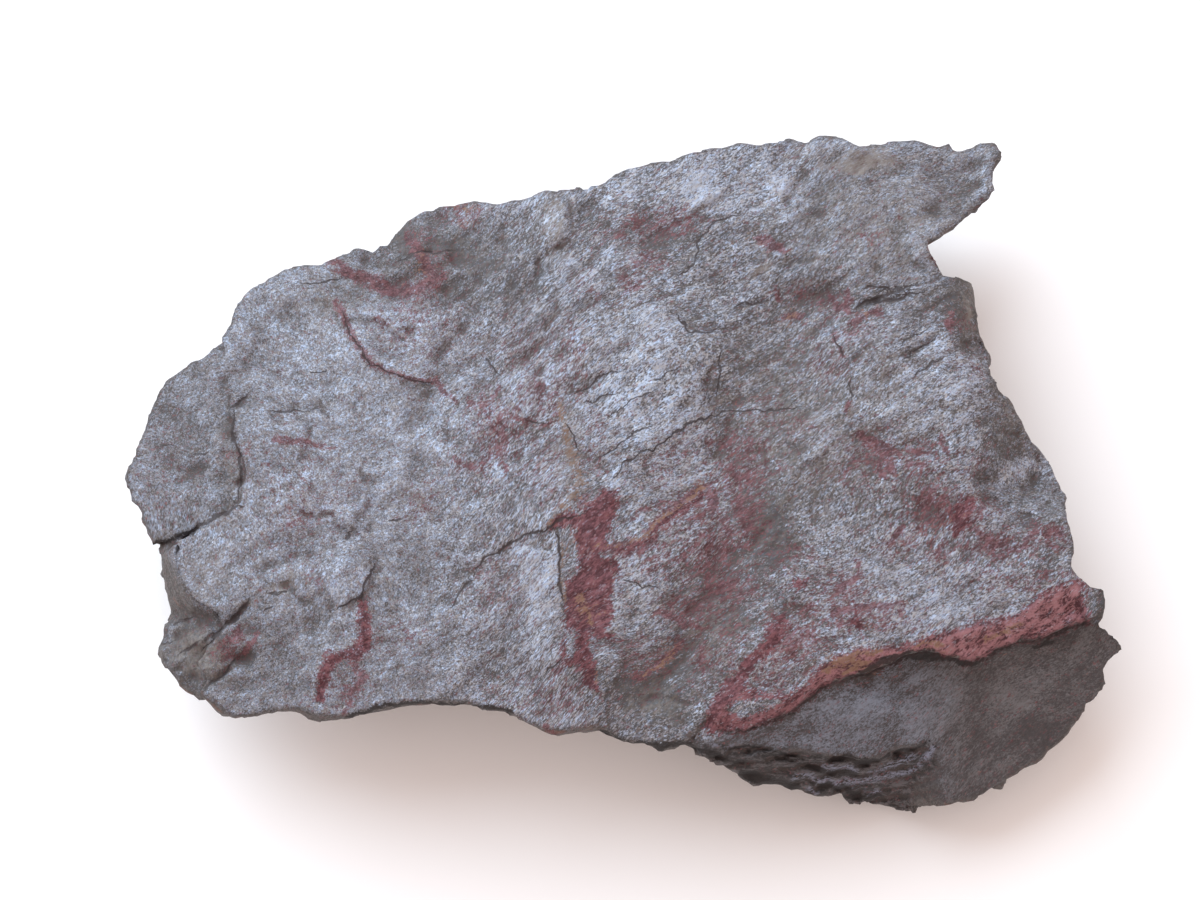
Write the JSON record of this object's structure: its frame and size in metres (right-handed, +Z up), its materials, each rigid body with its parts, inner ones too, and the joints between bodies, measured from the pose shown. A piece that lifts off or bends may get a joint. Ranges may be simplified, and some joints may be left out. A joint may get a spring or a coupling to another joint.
{
  "type": "mica schist hand specimen",
  "caption": "Broken slab of silver-grey mica schist with rust stains, a stepped lower leaf and a flat cleavage face to rest on.",
  "frame": {"origin": "centre of the bounding box, on the flat face that the slab rests on", "axes": "+X along the longest extent, towards the end with the lower leaf; +Y to the long straight back edge; +Z up through the thickness, across the foliation"},
  "size_m": [0.1514, 0.1027, 0.0299],
  "materials": {
    "schist": "glittering mica sheen, rust stained"
  },
  "bodies": {
    "root": {"schist_slab": "schist"}
  },
  "joints": []
}
